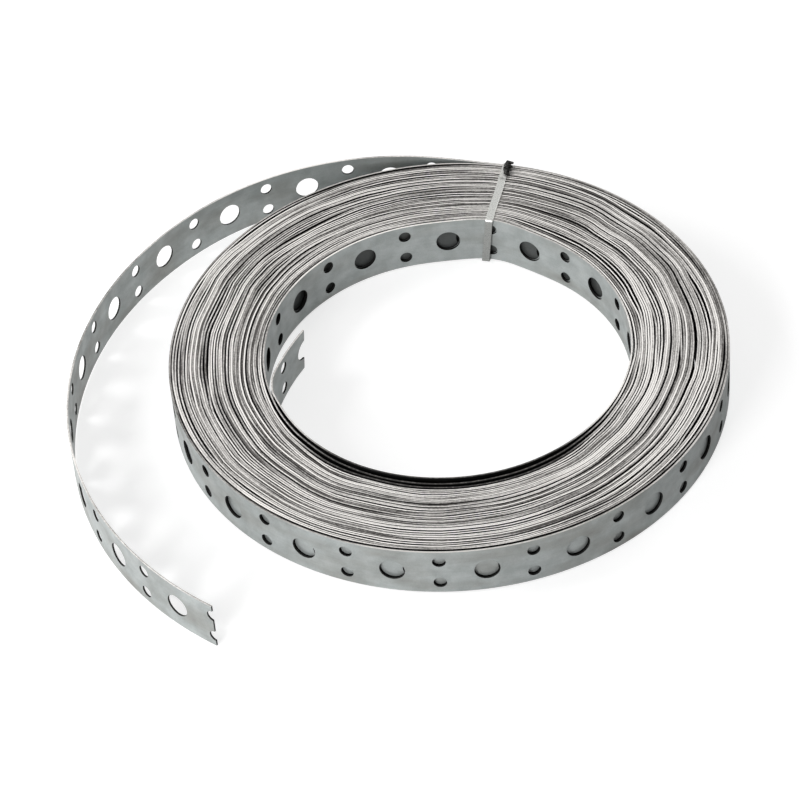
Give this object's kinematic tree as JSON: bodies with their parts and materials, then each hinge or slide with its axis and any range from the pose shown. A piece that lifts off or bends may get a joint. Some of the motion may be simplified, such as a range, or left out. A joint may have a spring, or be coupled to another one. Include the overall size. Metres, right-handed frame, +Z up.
{
  "type": "perforated metal strap",
  "caption": "Flat coil of galvanised perforated steel strap with a sprung outer tail, an inner tail and one tie, for hanging and fixing pipes, ducts and timber.",
  "frame": {"origin": "on the coil's axis, at the floor the coil lies on", "axes": "+Z up along the coil's axis; -Y towards the side the cut outer end points to"},
  "size_m": [0.2408, 0.2279, 0.0238],
  "materials": {
    "galvanised_strip": "galvanised, smooth, faint mottling; sheared edges brighter",
    "tie_wire": "flat soft-steel wire"
  },
  "bodies": {
    "root": {"perforated_strap": "galvanised_strip", "binding_tie": "tie_wire"}
  },
  "joints": []
}
